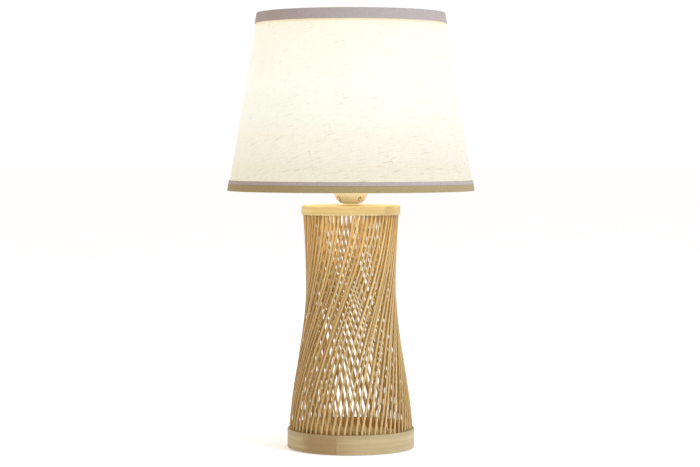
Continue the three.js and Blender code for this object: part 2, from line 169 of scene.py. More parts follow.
def grid_faces(rows, columns, wrap_rows, wrap_columns, start=0):
    """Quads over a rows x columns grid of points, joined round where asked."""
    faces = []
    for i in range(rows if wrap_rows else rows - 1):
        for k in range(columns if wrap_columns else columns - 1):
            here, there = i * columns, (i + 1) % rows * columns
            nxt = (k + 1) % columns
            faces.append((start + here + k, start + here + nxt, start + there + nxt, start + there + k))
    return faces


def lathe(outline, segments=128, shape=None, azimuths=None):
    """Turns an outline of (radius, height) points about the axis into a closed solid.

    An outline that starts and ends on the axis is a solid turning, and any other is a ring.
    shape(radius, height, azimuth) may move each point and gives its new radius, azimuth and height.
    """
    if azimuths is None:
        azimuths = [TURN * i / segments for i in range(segments)]
    solid = outline[0][0] < 1e-9 and outline[-1][0] < 1e-9
    ring = outline[1:-1] if solid else outline
    points = []
    for azimuth in azimuths:
        for radius, height in ring:
            moved = shape(radius, height, azimuth) if shape else (radius, azimuth, height)
            points.append(on_circle(*moved))
    count = len(ring)
    faces = grid_faces(len(azimuths), count, True, not solid)
    if solid:
        for end, column in ((outline[0], 0), (outline[-1], count - 1)):
            points.append((0, 0, end[1]))
            for i in range(len(azimuths)):
                j = (i + 1) % len(azimuths)
                faces.append((i * count + column, j * count + column, len(points) - 1))
    return mesh_of(points, faces)


def rounded(outline, radius, steps=3, closed=True):
    """Rounds an outline's corners. radius is one number, or one for each corner."""
    count = len(outline)
    radii = radius if isinstance(radius, (list, tuple)) else [radius] * count
    result = []
    for i, (corner, r) in enumerate(zip(outline, radii)):
        if r <= 0 or (not closed and i in (0, count - 1)):
            result.append(tuple(corner))
            continue
        here = Vector(corner)
        before, after = Vector(outline[i - 1]) - here, Vector(outline[(i + 1) % count]) - here
        reach = min(r, before.length * 0.49, after.length * 0.49)
        first, last = here + before.normalized() * reach, here + after.normalized() * reach
        for step in range(steps + 1):
            t = step / steps
            result.append(tuple(first * (1 - t) ** 2 + here * 2 * t * (1 - t) + last * t**2))
    return result


def in_mm(outline, lift=0.0):
    """An outline in millimetres as metres, raised by lift metres."""
    return [(r * MM, z * MM + lift) for r, z in outline]


def stepped(a, b, count):
    """Points from a to b, both included."""
    return [tuple(Vector(a).lerp(Vector(b), i / (count - 1))) for i in range(count)]


def tube(path, radii, sides, closed=False):
    """A round bar along a path, with a radius for each of its points."""
    line = [Vector(p) for p in path]
    points = []
    side = None
    for i, here in enumerate(line):
        ahead = line[(i + 1) % len(line)] if closed or i + 1 < len(line) else here
        behind = line[i - 1] if closed or i > 0 else here
        forward = (ahead - behind).normalized()
        if side is None:
            side = forward.orthogonal().normalized()
        side = (side - forward * side.dot(forward)).normalized()
        up = forward.cross(side)
        for k in range(sides):
            turn = TURN * k / sides
            points.append(here + (side * math.cos(turn) + up * math.sin(turn)) * radii[i])
    faces = grid_faces(len(line), sides, closed, True)
    if not closed:
        faces.append(tuple(range(sides))[::-1])
        faces.append(tuple((len(line) - 1) * sides + k for k in range(sides)))
    return mesh_of(points, faces)


def block(outline, depth):
    """A flat outline in X and Y pushed along Z by depth, centred on z = 0."""
    count = len(outline)
    points = [(x, y, z) for z in (-depth / 2, depth / 2) for x, y in outline]
    faces = [tuple(range(count))[::-1], tuple(range(count, 2 * count))]
    faces += [(k, (k + 1) % count, count + (k + 1) % count, count + k) for k in range(count)]
    return mesh_of(points, faces)


def placed(mesh, where, turn=0.0, axis="Z"):
    """The mesh turned about an axis through the origin, then moved."""
    mesh.transform(Matrix.Translation(where) @ Matrix.Rotation(turn, 4, axis))
    return mesh


def merged(*meshes):
    """Several meshes as one."""
    whole = bmesh.new()
    for mesh in meshes:
        whole.from_mesh(mesh)
    result = bpy.data.meshes.new("mesh")
    whole.to_mesh(result)
    whole.free()
    return result


def carved(mesh, *cutters):
    """The mesh with each cutter taken away."""
    piece = added("carved", mesh)
    tools = [added("tool", cutter) for cutter in cutters]
    for tool in tools:
        cut = piece.modifiers.new("cut", "BOOLEAN")
        cut.operation, cut.object, cut.solver = "DIFFERENCE", tool, "EXACT"
    bpy.context.view_layer.update()
    seen = piece.evaluated_get(bpy.context.evaluated_depsgraph_get())
    result = bpy.data.meshes.new_from_object(seen)
    for used in [piece, *tools]:
        bpy.data.objects.remove(used)
    return result


def ripple(azimuth, waves):
    """A small seamless unevenness round a ring: waves are (count, size, phase)."""
    return sum(size * math.sin(count * azimuth + phase) for count, size, phase in waves)


def helix(azimuth, height, pitch):
    """Where a point is across a right-hand thread: 1 on the crest and 0 at the root."""
    across = (height / pitch - azimuth / TURN) % 1
    return 0.5 + 0.5 * math.cos(TURN * across)


# ---- material helpers


class Signal:
    """What one node hands to the next. Working with it adds nodes to its tree."""

    def __init__(self, tree, socket):
        self.tree, self.socket = tree, socket

    def calc(self, operation, *others):
        return self.tree.out("Math", enumerate((self, *others)), operation=operation)

    __add__ = partialmethod(calc, "ADD")
    __sub__ = partialmethod(calc, "SUBTRACT")
    __mul__ = partialmethod(calc, "MULTIPLY")
    __truediv__ = partialmethod(calc, "DIVIDE")
    __abs__ = partialmethod(calc, "ABSOLUTE")

    def axes(self):
        return [Signal(self.tree, part) for part in self.tree.add("SeparateXYZ", {0: self}).outputs]

    def noise(self, scale, detail=2.0, roughness=0.5):
        """Noise at this place. scale is one number, or one for each axis."""
        place = self
        if isinstance(scale, tuple):
            place, scale = self.tree.out("VectorMath", {0: self, 1: scale}, operation="MULTIPLY"), 1
        inputs = {"Vector": place, "Scale": scale, "Detail": detail, "Roughness": roughness}
        return self.tree.out("TexNoise", inputs, "Fac")

    def between(self, low, high, out_low=0.0, out_high=1.0):
        """Taken smoothly from low..high to out_low..out_high."""
        inputs = enumerate((self, low, high, out_low, out_high))
        return self.tree.out("MapRange", inputs, interpolation_type="SMOOTHSTEP")

    def share(self, low, high):
        """How far it lies from low to high, 0 to 1."""
        return self.tree.out("MapRange", {0: self, 1: low, 2: high})

    def ramp(self, *stops):
        node = self.tree.add("ValToRGB", {0: self})
        elements = node.color_ramp.elements
        while len(elements) < len(stops):
            elements.new(0.5)
        for element, (where, colour) in zip(elements, stops):
            element.position = where
            element.color = (*colour, 1)
        return Signal(self.tree, node.outputs[0])

    def tones(self, *colours):
        """Colours spread over the middle of a noise's range."""
        return self.ramp(*zip(np.linspace(0.3, 0.7, len(colours)), colours))

    def towards(self, colour, share, mode="MIX"):
        """This colour taken towards another by a share."""
        colour = (*colour, 1) if isinstance(colour, tuple) else colour
        return self.tree.out("Mix", {0: share, 6: self, 7: colour}, 2, data_type="RGBA", blend_type=mode)

    def times(self, colour):
        return self.towards(colour, 1.0, "MULTIPLY")

    def bump(self, distance, strength):
        return self.tree.out("Bump", {"Height": self, "Distance": distance, "Strength": strength})


class Tree:
    """A node tree, built up node by node."""

    def __init__(self, tree):
        self.tree = tree

    def add(self, kind, inputs=(), **settings):
        node = self.tree.nodes.new("ShaderNode" + kind)
        for key, value in settings.items():
            setattr(node, key, value)
        for key, value in dict(inputs).items():
            if isinstance(value, Signal):
                self.tree.links.new(value.socket, node.inputs[key])
            else:
                node.inputs[key].default_value = value
        return node

    def out(self, kind, inputs=(), output=0, **settings):
        return Signal(self, self.add(kind, inputs, **settings).outputs[output])


class Finish(Tree):
    """A Principled material for a slot of the record, built up from procedural nodes."""

    def __init__(self, name, slot=None, **constants):
        self.material = bpy.data.materials.new(name)
        self.material.use_nodes = True
        super().__init__(self.material.node_tree)
        self.slot = slot or name
        self.shader = self.tree.nodes["Principled BSDF"]
        for socket, value in constants.items():
            self.shader.inputs[socket.replace("_", " ")].default_value = value

    def wire(self, **sockets):
        for socket, signal in sockets.items():
            self.tree.links.new(signal.socket, self.shader.inputs[socket.replace("_", " ")])
        return self

    def attribute(self, name, output="Vector"):
        return self.out("Attribute", (), output, attribute_name=name)

    def position(self):
        return self.out("TexCoord", (), "Object")

    def joined(self, x, y, z):
        return self.out("CombineXYZ", enumerate((x, y, z)))

    def round_the_axis(self, joint=math.pi, reach=0.06):
        """Object space as (azimuth x reach, height, radius), broken at the joint's azimuth."""
        x, y, z = self.position().axes()
        cosine, sine = math.cos(math.pi - joint), math.sin(math.pi - joint)
        along, across = x * cosine - y * sine, x * sine + y * cosine
        azimuth = along.calc("ARCTAN2", across * -1.0)
        radius = (x.calc("POWER", 2.0) + y.calc("POWER", 2.0)).calc("SQRT")
        return self.joined(azimuth * reach, z, radius), azimuth


def dimmed(colour, share):
    return tuple(min(1.0, c * share) for c in colour)


def fibrous(kit, colour, fibres, depth, strength, smooth, rough):
    """Finishes a bamboo surface: its fibres stand up and change its roughness."""
    normal = fibres.bump(depth, strength)
    return kit.wire(Base_Color=colour, Normal=normal, Roughness=fibres.between(0.3, 0.7, smooth, rough))


def slat_finish():
    """Long fibres, dark flecks, a slow drift of tone, a knot and brown edges along each slat."""
    kit = Finish("bamboo_slat", Roughness=0.5, Specular_IOR_Level=0.45)
    strip = kit.attribute("strip")
    across, along, _ = strip.axes()
    fibres = strip.noise((9000, 60, 900), 3, 0.6)
    flecks = strip.noise((5200, 260, 500))
    drift = strip.noise((120, 14, 60))
    colour = (fibres * 0.45 + drift * 0.55).tones(
        (0.365, 0.235, 0.079), (0.52, 0.363, 0.143), (0.645, 0.482, 0.228))
    colour = colour.towards((0.36, 0.19, 0.07), flecks.between(0.66, 0.78) * 0.45)
    tint = kit.attribute("tone", "Fac").ramp(
        (0.0, (0.66, 0.55, 0.42)), (0.35, (0.9, 0.86, 0.78)), (0.7, (1, 1, 1)), (1.0, (1.12, 1.14, 1.18)))
    colour = colour.times(tint)
    knot = abs(along - kit.attribute("knot", "Fac"))
    colour = colour.towards((0.34, 0.19, 0.08), knot.between(0.0003, 0.0012, 1.0, 0.0) * 0.55)
    colour = colour.towards((0.42, 0.24, 0.09), abs(across).between(0.0006, 0.00105) * 0.35)
    return fibrous(kit, colour, fibres, 0.00012, 0.8, 0.42, 0.62)


def hoop_finish(name, tones, joint=math.pi, coat=0.0, before=0.0, after=0.0, rim=1.0, slot=None):
    """A bent strip of bamboo, its fibres running round the hoop.

    The strip is browner by the shares before and after on the two sides of its joint, and above
    the height rim.
    """
    kit = Finish(name, slot, Coat_Weight=coat, Coat_Roughness=0.3)
    strip, azimuth = kit.round_the_axis(joint)
    x, y, z = strip.axes()
    turned = kit.joined(y, x, z)
    fibres = turned.noise((5200, 26, 700), 4, 0.62)
    bands = turned.noise((620, 9, 60))
    clouds = turned.noise((70, 34, 20), 3)
    colour = (fibres * 0.4 + bands * 0.6).tones(*tones)
    colour = colour.towards((0.36, 0.26, 0.14), clouds.between(0.5, 0.72) * 0.42)
    if before or after:
        uneven = azimuth + (clouds - 0.5) * 0.3
        left = uneven.between(math.pi - 0.75, math.pi - 0.45, 0.0, before)
        right = uneven.between(-math.pi, 0.4 - math.pi, after, 0.0)
        brown = left * azimuth.calc("GREATER_THAN", 0.0) + right * azimuth.calc("LESS_THAN", 0.0)
        colour = colour.towards((0.28, 0.165, 0.055), brown)
        edge = y + bands * 0.003
        colour = colour.towards((0.33, 0.25, 0.12), edge.between(rim, rim + 0.003, 0.0, 0.45))
    pores = turned.noise((3600, 220, 300), 1).between(0.7, 0.8)
    colour = colour.towards((0.3, 0.18, 0.08), pores * 0.5)
    return fibrous(kit, colour, fibres, 0.00015, 0.7, 0.38, 0.6)


def board_finish(name, tones, lamination, slot=None):
    """A board of side-by-side strips, grain along X."""
    kit = Finish(name, slot)
    x, y, z = kit.position().axes()
    rows = y / lamination
    offset = rows.calc("FLOOR") * 3.7
    fibres = kit.joined(x + offset, y, z).noise((40, 2600, 1200), 4, 0.6)
    drift = kit.joined(offset, 0.5, 0.2).noise(1.3, 1)
    colour = (fibres * 0.6 + drift * 0.4).tones(*tones)
    glue = abs(rows.calc("FRACT") - 0.5).between(0.485, 0.5)
    colour = colour.towards((0.32, 0.18, 0.07), glue * 0.6)
    return fibrous(kit, colour, fibres, 0.00012, 0.6, 0.4, 0.62)


def moulded_finish(name, colour, rough, grain=900.0, slot=None, **constants):
    """Moulded or glazed surface: faint mottling, fine texture and small darker specks."""
    kit = Finish(name, slot, **constants)
    place = kit.position()
    mottle = place.noise(60, 4)
    dust = place.noise(2200, 1).between(0.7, 0.8)
    tint = mottle.tones(dimmed(colour, 0.88), dimmed(colour, 1.05))
    return kit.wire(
        Base_Color=tint.towards(dimmed(colour, 0.6), dust * 0.18),
        Roughness=mottle.between(0.3, 0.7, rough - 0.06, rough + 0.1),
        Normal=place.noise(grain).bump(0.00003, 0.6),
    )


def metal_finish(name, colour, rough):
    """Metal with turned tool marks and dull patches."""
    kit = Finish(name, Metallic=1.0)
    place = kit.position()
    marks = place.noise((30, 30, 2600), 3)
    return kit.wire(
        Base_Color=place.noise(220, 3).ramp((0.3, dimmed(colour, 0.7)), (0.62, colour)),
        Roughness=marks.between(0.3, 0.7, rough - 0.08, rough + 0.14),
        Normal=marks.bump(0.00002, 0.7),
    )


def ribs(count):
    """A ridge for each whole number that count passes."""
    return abs((count * math.pi).calc("SINE"))


def weave(strip, pitch):
    """Plain weave: how high each crossing stands, its threads straying a little."""
    u, v, _ = strip.axes()
    bent = strip.noise((260, 260, 1)) * 0.9
    return ribs(u / pitch + bent) * ribs(v / pitch + bent)


def threads(strip, along_u, pitch, length):
    """How dark each thread is along its length: streaks one thread wide."""
    across, along = 1 / pitch, 1 / length
    return strip.noise((along, across, 1) if along_u else (across, along, 1), 2, 0.6)


def linen_finish():
    kit = Finish("linen", Roughness=0.85, Sheen_Weight=0.15, Sheen_Roughness=0.5, Emission_Strength=1.0)
    strip = kit.attribute("strip")
    share = kit.position().axes()[2].share(BOTTOM, TOP)
    cross = weave(strip, 0.00075)
    patch = strip.noise((40, 40, 1), 1) * 0.3
    slub_weft = (threads(strip, True, 0.0016, 0.02) + patch).between(0.76, 0.88)
    slub_warp = (threads(strip, False, 0.0014, 0.02) + patch).between(0.82, 0.94)
    thick_weft = threads(strip, True, 0.0014, 0.012).between(0.42, 0.7, 0.0, 0.6)
    thick_warp = threads(strip, False, 0.0014, 0.014).between(0.45, 0.7, 0.0, 0.4)
    plain = share.between(0.0, 0.5, 1.0, 0.45)
    slub = slub_weft.calc("MAXIMUM", slub_warp * 0.6) * plain
    thick = (thick_weft + thick_warp) * plain
    base = strip.noise((14, 14, 1), 3).tones((0.155, 0.157, 0.14), (0.17, 0.175, 0.16))
    base = base.towards((0.12, 0.1, 0.07), thick * 0.4)
    base = base.towards((0.1, 0.07, 0.04), slub * 0.5)
    base = base.towards((0.14, 0.12, 0.09), cross.between(0.0, 0.5, 0.15, 0.0))
    # Painted light: the bulb's light through the cloth, given as emission that grows brighter upwards,
    # with a warm orange line just under the top tape.
    bulb_glow_painted = share.ramp(
        (0.0, (0.755, 0.682, 0.52)), (0.12, (0.725, 0.665, 0.52)), (0.2, (0.768, 0.718, 0.605)),
        (0.29, (0.808, 0.752, 0.635)), (0.4, (0.81, 0.805, 0.695)), (0.6, (0.86, 0.848, 0.745)),
        (0.9, (0.85, 0.825, 0.69)), (0.925, (0.85, 0.8, 0.63)), (0.94, (0.81, 0.64, 0.385)),
    )
    glow = bulb_glow_painted.towards((0.36, 0.27, 0.14), thick * 0.21)
    glow = glow.towards((0.3, 0.17, 0.08), slub * 0.38)
    glow = glow.towards((0.4, 0.32, 0.2), cross.between(0.0, 0.5, 0.07, 0.0))
    normal = (cross + (thick + slub)).bump(0.00025, 0.6)
    return kit.wire(Base_Color=base, Emission_Color=glow, Normal=normal)


def liner_finish():
    kit = Finish("liner_film", Roughness=0.45, Emission_Strength=2.9)
    strip = kit.attribute("strip")
    creases = strip.noise((90, 400, 1))
    base = strip.noise((20, 20, 1), 3).tones((0.3, 0.27, 0.21), (0.34, 0.31, 0.25))
    # Painted light: the bulb's light on the liner, given as emission that is strong over its lower half
    # and faint above.
    glow = kit.position().axes()[2].share(BOTTOM, TOP).ramp(
        (0.0, (0.92, 0.76, 0.46)), (0.36, (0.92, 0.76, 0.48)),
        (0.5, (0.19, 0.155, 0.1)), (1.0, (0.12, 0.1, 0.065)),
    )
    glow = glow.towards((0.07, 0.055, 0.03), creases.between(0.4, 0.7, 0.0, 0.3))
    return kit.wire(Base_Color=base, Emission_Color=glow, Normal=creases.bump(0.0001, 0.4))


def tape_finish(name, fold=None):
    """Ribbed ribbon: cross ribs, soft mottling and stray fibres, browner below the height fold."""
    kit = Finish(name, "tape_cloth", Roughness=0.8, Sheen_Weight=0.1, Sheen_Roughness=0.4,
                 Emission_Strength=1.0)
    strip, _ = kit.round_the_axis(reach=0.13)
    u, v, _ = strip.axes()
    dark = (0.335, 0.28, 0.265)
    rows = ribs(v / 0.0011)
    base = strip.noise((420, 1500, 1), 3).tones(dark, (0.455, 0.395, 0.375))
    if fold:
        folded = v.between(fold - 0.0003, fold + 0.0003, 1.0, 0.0)
        base = base.towards(base.times((0.85, 0.75, 0.36)), folded)
        # A dark line along the fold: painted shade in the crease.
        fold_line_shade = abs(v - fold).between(0.0, 0.0005, 0.6, 0.0)
        base = base.towards((0.16, 0.13, 0.1), fold_line_shade)
    base = base.towards(dimmed(dark, 0.6), rows.between(0.0, 0.6, 0.25, 0.0))
    fibre = strip.noise((160, 3000, 1), 1).between(0.7, 0.8)
    base = base.towards((0.72, 0.66, 0.6), fibre * 0.35)
    normal = (ribs(u / 0.0007) + rows).bump(0.00012, 0.7)
    # The faint emission in the tape's own colour is a painted glow of the bulb's light through the ribbon.
    return kit.wire(Base_Color=base, Emission_Color=base.times((0.05, 0.04, 0.02)), Normal=normal)


def felt_finish():
    kit = Finish("felt", Roughness=0.95, Sheen_Weight=0.6, Sheen_Roughness=0.6)
    place = kit.position()
    fuzz = place.noise(900, 4, 0.7)
    strands = place.noise((300, 2600, 900))
    tint = fuzz.tones((0.03, 0.024, 0.018), (0.085, 0.07, 0.055))
    return kit.wire(Base_Color=tint, Normal=(fuzz + strands).bump(0.0005, 0.8))


def opal_finish():
    kit = Finish("opal_plastic", Roughness=0.3, Emission_Strength=0.62)
    place = kit.position()
    mottle = place.noise(35, 3)
    tint = mottle.tones((0.36, 0.33, 0.27), (0.41, 0.38, 0.32))
    low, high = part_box("bulb_globe")
    light = place.axes()[2].between(low.z, high.z).ramp(
        (0.0, (0.75, 0.58, 0.34)), (0.4, (1.0, 0.86, 0.6)), (1.0, (0.86, 0.7, 0.44)))
    return kit.wire(Base_Color=tint, Emission_Color=light, Normal=mottle.bump(0.00004, 0.4))


# ---- finishes

STRAW = ((0.32, 0.232, 0.096), (0.43, 0.333, 0.162), (0.52, 0.425, 0.23))
PALE = ((0.41, 0.31, 0.12), (0.5, 0.39, 0.178), (0.56, 0.45, 0.245))
HONEY = ((0.36, 0.21, 0.07), (0.5, 0.31, 0.115), (0.6, 0.4, 0.17))
BASE_JOINT = math.radians(-13)
TOP_JOINT = math.radians(45)

SLAT = slat_finish()
BASE_OUTER = hoop_finish("bamboo_hoop", STRAW, BASE_JOINT, 0.15, 0.75, 0.35, 0.0185)
HOOP_PLAIN = hoop_finish("bamboo_hoop_inner", HONEY, slot="bamboo_hoop")
TOP_OUTER = hoop_finish("bamboo_top", PALE, TOP_JOINT, 0.15, 0.05, 0.3)
BOARD = board_finish("bamboo_board", PALE, 0.019, "bamboo_top")
PLYWOOD = board_finish("plywood", HONEY, 0.045)
CREAM = moulded_finish("cream_plastic", (0.635, 0.605, 0.5), 0.38, Coat_Weight=0.2)
# The neck collar: the cream plastic made paler and given a faint warm glow, painted light of the bulb
# falling on it.
NECK_PAINTED_GLOW = moulded_finish("neck_painted_glow", (0.9, 0.8, 0.62), 0.42, slot="cream_plastic",
                      Emission_Color=(1, 0.8, 0.42, 1), Emission_Strength=0.2)
# Dark brown for the inside of the lampholder cap: painted shade where little light gets in.
CAP_INSIDE_SHADE = moulded_finish("cap_painted_shade", (0.34, 0.2, 0.07), 0.6)
PORCELAIN = moulded_finish("porcelain", (0.88, 0.86, 0.8), 0.2, Coat_Weight=0.5)
WHITE = moulded_finish("white_plastic", (0.86, 0.85, 0.81), 0.35)
RUBBER = moulded_finish("black_rubber", (0.035, 0.032, 0.03), 0.7, grain=2400)
GLASS = moulded_finish("dark_glass", (0.03, 0.025, 0.05), 0.15, Coat_Weight=0.6)
ENAMEL = moulded_finish("white_wire", (0.78, 0.76, 0.71), 0.35, grain=3000, Coat_Weight=0.3)
ZINC = metal_finish("zinc_steel", (0.66, 0.65, 0.62), 0.3)
BRASS = metal_finish("brass", (0.8, 0.6, 0.28), 0.26)
LINEN = linen_finish()
LINER = liner_finish()
TAPE = tape_finish("tape_cloth")
TAPE_LOWER = tape_finish("tape_cloth_bottom", BOTTOM + 7.5 * MM)
FELT = felt_finish()
OPAL = opal_finish()

# ---- woven body

SECTION = rounded(
    [(-0.5, -0.5), (0.5, -0.5), (0.5, 0.5), (-0.5, 0.5)], 0.2, 2
)  # across the width, through the thickness
SLAT_HEIGHTS = [0.001, 0.012, *np.linspace(0.024, 0.266, 45), 0.2702]
NEIGHBOUR_ROOM = 2.4  # degrees that two neighbours may close up on each other


def bowed(height):
    """0 where the hoops hold a slat and 1 in the middle of its free length."""
    held = min(max(height, HELD_LOW), HELD_HIGH)
    return math.sin(math.pi * (held - HELD_LOW) / (HELD_HIGH - HELD_LOW))


def slat_faults():
    """The small faults of one layer's slats: azimuths in radians, neighbours kept clear of each other."""
    count = SLATS_PER_LAYER
    stray = np.clip(rng.normal(0, 0.5, count), -1.0, 1.0)
    bow = np.clip(rng.normal(0, 1.35, count), -2.2, 2.2)
    skew = np.clip(rng.normal(0, 0.7, count), -1.3, 1.3)
    for _ in range(4):
        for i in range(count):
            closer = (stray[i - 1] + bow[i - 1]) - (stray[i] + bow[i])
            bow[i] += max(0.0, closer - NEIGHBOUR_ROOM)
            skew[i] += max(0.0, skew[i - 1] - skew[i] - NEIGHBOUR_ROOM / 2)
    return np.radians(stray), np.radians(bow), np.radians(skew)


def slat_points(inset, twist, azimuth, bow, skew):
    """One slat's points and strip coordinates, with its own small faults."""
    roll = math.radians(max(-16, min(16, rng.normal(0, 8))))
    lift = max(-0.3, min(0.3, rng.normal(0, 0.16))) * MM
    width = SLAT_WIDTH * rng.uniform(0.8, 1.16)
    thickness = SLAT_THICKNESS * rng.uniform(0.86, 1.0)
    wander, phase = rng.uniform(0.1, 0.5) * MM, rng.uniform(0, TURN)
    seed = rng.uniform(0, 9)
    behind = abs(math.remainder(azimuth - math.pi, TURN)) * slat_radius(0)
    low = OUTLET_HEIGHT + OUTLET_HOLE + 0.3 * MM if behind < OUTLET_HOLE + 1.3 * MM else 0.0
    points, strips = [], []
    along = 0.0
    last = None
    for height in SLAT_HEIGHTS:
        height = max(height, low)
        free = bowed(height)
        share = (height - HELD_LOW) / (HELD_HIGH - HELD_LOW)
        radius = slat_radius(height) - inset + lift * free
        middle = azimuth + bow * free + twist * slat_twist(height)
        middle += skew * free * math.cos(math.pi * share)
        middle += wander / radius * free * math.sin(height * 42 + phase)
        slope = (slat_twist(height + MM) - slat_twist(height - MM)) / (2 * MM) * radius
        wide = width * math.hypot(1, slope)
        if last is not None:
            along += math.hypot(height - last[0], (middle - last[1]) * radius)
        last = (height, middle)
        turn = roll * free * math.cos(height * 18 + phase)
        for x, y in SECTION:
            across = x * wide * math.cos(turn) - y * thickness * math.sin(turn)
            out = x * wide * math.sin(turn) + y * thickness * math.cos(turn)
            points.append(on_circle(radius + out, middle + across / radius, height))
            strips.append((x * width, along, seed))
    return points, strips


def slat_sector(name, inset, twist, slats):
    """Eight neighbouring slats of one layer as one piece."""
    points, faces, strips, tones, knots = [], [], [], [], []
    count = len(SECTION)
    for slat in slats:
        own, own_strips = slat_points(inset, twist, *slat)
        first = len(points)
        points += own
        strips += own_strips
        tone, knot = rng.beta(2.4, 1.6), rng.uniform(-0.05, 0.33)
        tones += [tone] * len(own)
        knots += [knot] * len(own)
        faces += grid_faces(len(SLAT_HEIGHTS), count, False, True, first)
        faces.append(tuple(first + k for k in range(count)))
        faces.append(tuple(first + len(own) - count + k for k in range(count)))
    mesh = mesh_of(points, faces, strip=strips, tone=tones, knot=knots)
    shown(f"bamboo_{name}", mesh, SLAT, f"slats_{name}", 60)


for layer, inset, twist, start in (
    ("outer", 0.0, 0.976, math.radians(-0.2)),
    ("inner", LAYER_SPACING, -1.024, math.radians(3.44)),
):
    stray, bow, skew = slat_faults()
    azimuths = start + TURN * np.arange(SLATS_PER_LAYER) / SLATS_PER_LAYER + stray
    slats = np.stack([azimuths, bow, skew], axis=1).tolist()
    held = SLATS_PER_LAYER // SECTORS_PER_LAYER
    for sector in range(SECTORS_PER_LAYER):
        slat_sector(f"{layer}_{sector + 1}", inset, twist, slats[sector * held:(sector + 1) * held])

# ---- hoops and base


def size_of(node):
    """A round node's outer radius, lowest and highest point."""
    low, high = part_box(node)
    return high.x, low.z, high.z


def drill():
    cutter = lathe([(0, 0), (OUTLET_HOLE, 0), (OUTLET_HOLE, 0.03), (0, 0.03)], 48)
    return placed(cutter, (0, 0.055, OUTLET_HEIGHT), -math.pi / 2, "X")


def hoop(end, layer, thickness, finish, drilled, joint=None, lean=0.0, bevel=0.35):
    """A strip bent into a ring. joint is the azimuth of its visible lapped end, which leans by lean."""
    node = f"{end}_hoop_{layer}"
    radius, low, high = size_of(node)
    corners = [(radius - thickness, low), (radius, low), (radius, high), (radius - thickness, high)]
    corners[1:3] = stepped(corners[1], corners[2], 9)
    radii = [0.2 * MM, bevel * MM, *[0] * 7, bevel * MM, 0.2 * MM]
    waves = [(3, 0.05 * MM, rng.uniform(0, 6)), (5, 0.04 * MM, rng.uniform(0, 6)), (11, 0.02 * MM, 1.0)]
    azimuths = [TURN * i / 320 for i in range(320)]
    if joint is not None:
        near = [joint + math.copysign(d * d, d) * 0.02 for d in np.linspace(-1, 1, 17)]
        azimuths = [a for a in azimuths if abs(math.remainder(a - joint, TURN)) > 0.021] + near
        azimuths = sorted(a % TURN for a in azimuths)

    def shape(r, z, azimuth):
        share = (z - low) / (high - low) - 0.5
        if joint is not None and r > radius - thickness * 0.6:
            away = math.remainder(azimuth - joint, TURN)
            groove = math.exp(-((away * radius / (0.16 * MM)) ** 2)) * 0.3 * MM
            step = 0.14 * MM * math.exp(-away / 0.05) if away > 0 else 0
            r -= groove + step
            azimuth += lean * share * math.exp(-((away / 0.12) ** 2))
        top = ripple(azimuth, waves) * (share + 0.5)
        return r + min(0, ripple(azimuth, waves) - 0.05 * MM), azimuth, z + min(0, top - 0.05 * MM)

    mesh = lathe(rounded(corners, radii, 4), shape=shape, azimuths=azimuths)
    shown(f"hoop_{end}_{layer}", carved(mesh, drill()) if drilled else mesh, finish, node, 35)


for end, thickness, outer_finish, joint, lean, bevel in (
    ("base", 1.9 * MM, BASE_OUTER, BASE_JOINT, 0.05, 0.6),
    ("top", 1.7 * MM, TOP_OUTER, TOP_JOINT, 0.07, 0.5),
):
    drilled = end == "base"
    hoop(end, "outer", thickness, outer_finish, drilled, joint, lean, bevel)
    hoop(end, "middle", 1.2 * MM, HOOP_PLAIN, drilled)
    hoop(end, "inner", 2.2 * MM, HOOP_PLAIN, drilled)


def turned(name, outline, finish, node, segments=128, shape=None, sharp=40):
    return shown(name, lathe(outline, segments, shape), finish, node, sharp)


def disc(radius, low, high, bevel):
    return rounded([(0, low), (radius, low), (radius, high), (0, high)], [0, bevel, bevel, 0])


def washer(name, hole, bevel, finish, node, segments):
    """A flat ring between a node's lowest and highest point."""
    radius, low, high = size_of(node)
    outline = rounded([(hole, low), (radius, low), (radius, high), (hole, high)], bevel)
    turned(name, outline, finish, node, segments)


radius, low, high = size_of("base_disc")
GROOVE = 4.3 * MM  # half the width of the lead's groove, and how far it reaches over the outlet's axis
groove = block([(-GROOVE, 0), (GROOVE, 0), (GROOVE, 0.07), (-GROOVE, 0.07)], 2 * (OUTLET_HEIGHT + GROOVE))
lead_hole = lathe([(0, -0.01), (5 * MM, -0.01), (5 * MM, 0.03), (0, 0.03)], 64)
board = lathe(disc(radius, low, high, 0.6 * MM), 160)
shown("base_board", carved(board, groove, lead_hole), PLYWOOD, "base_disc", 35)

pad_radius, low, high = size_of("base_pad")
FUZZ = [(37, 0.06 * MM, 0), (61, 0.05 * MM, 2)]


def pad_shape(r, z, azimuth):
    """A slightly uneven edge and a soft upper side."""
    dent = 0.12 * MM * (1 + math.sin(r * 900 + 5 * azimuth)) / 2 if z > low + 0.4 * MM else 0
    return r + ripple(azimuth, FUZZ) * (r / pad_radius) ** 4, azimuth, z - dent


pad_rings = stepped((0, low), (pad_radius, low), 24) + stepped((pad_radius, high), (0, high), 24)
pad_outline = rounded(pad_rings, [0] * 23 + [0.3 * MM] * 2 + [0] * 23, 2)
pad = turned("felt_pad", pad_outline, FELT, "base_pad", 160, pad_shape)

# The outlet bush at the back: a flanged rubber sleeve.
bush_low, bush_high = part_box("cord_bush")
bush_length = bush_high.y - bush_low.y


def bush_shape(r, z, azimuth):
    """Grip ribs along the sleeve."""
    ribbed = r > 3.9 * MM and (z / MM) % 2.2 < 0.6 and z < bush_length - 2 * MM
    return r - (0.15 * MM if ribbed else 0), azimuth, z


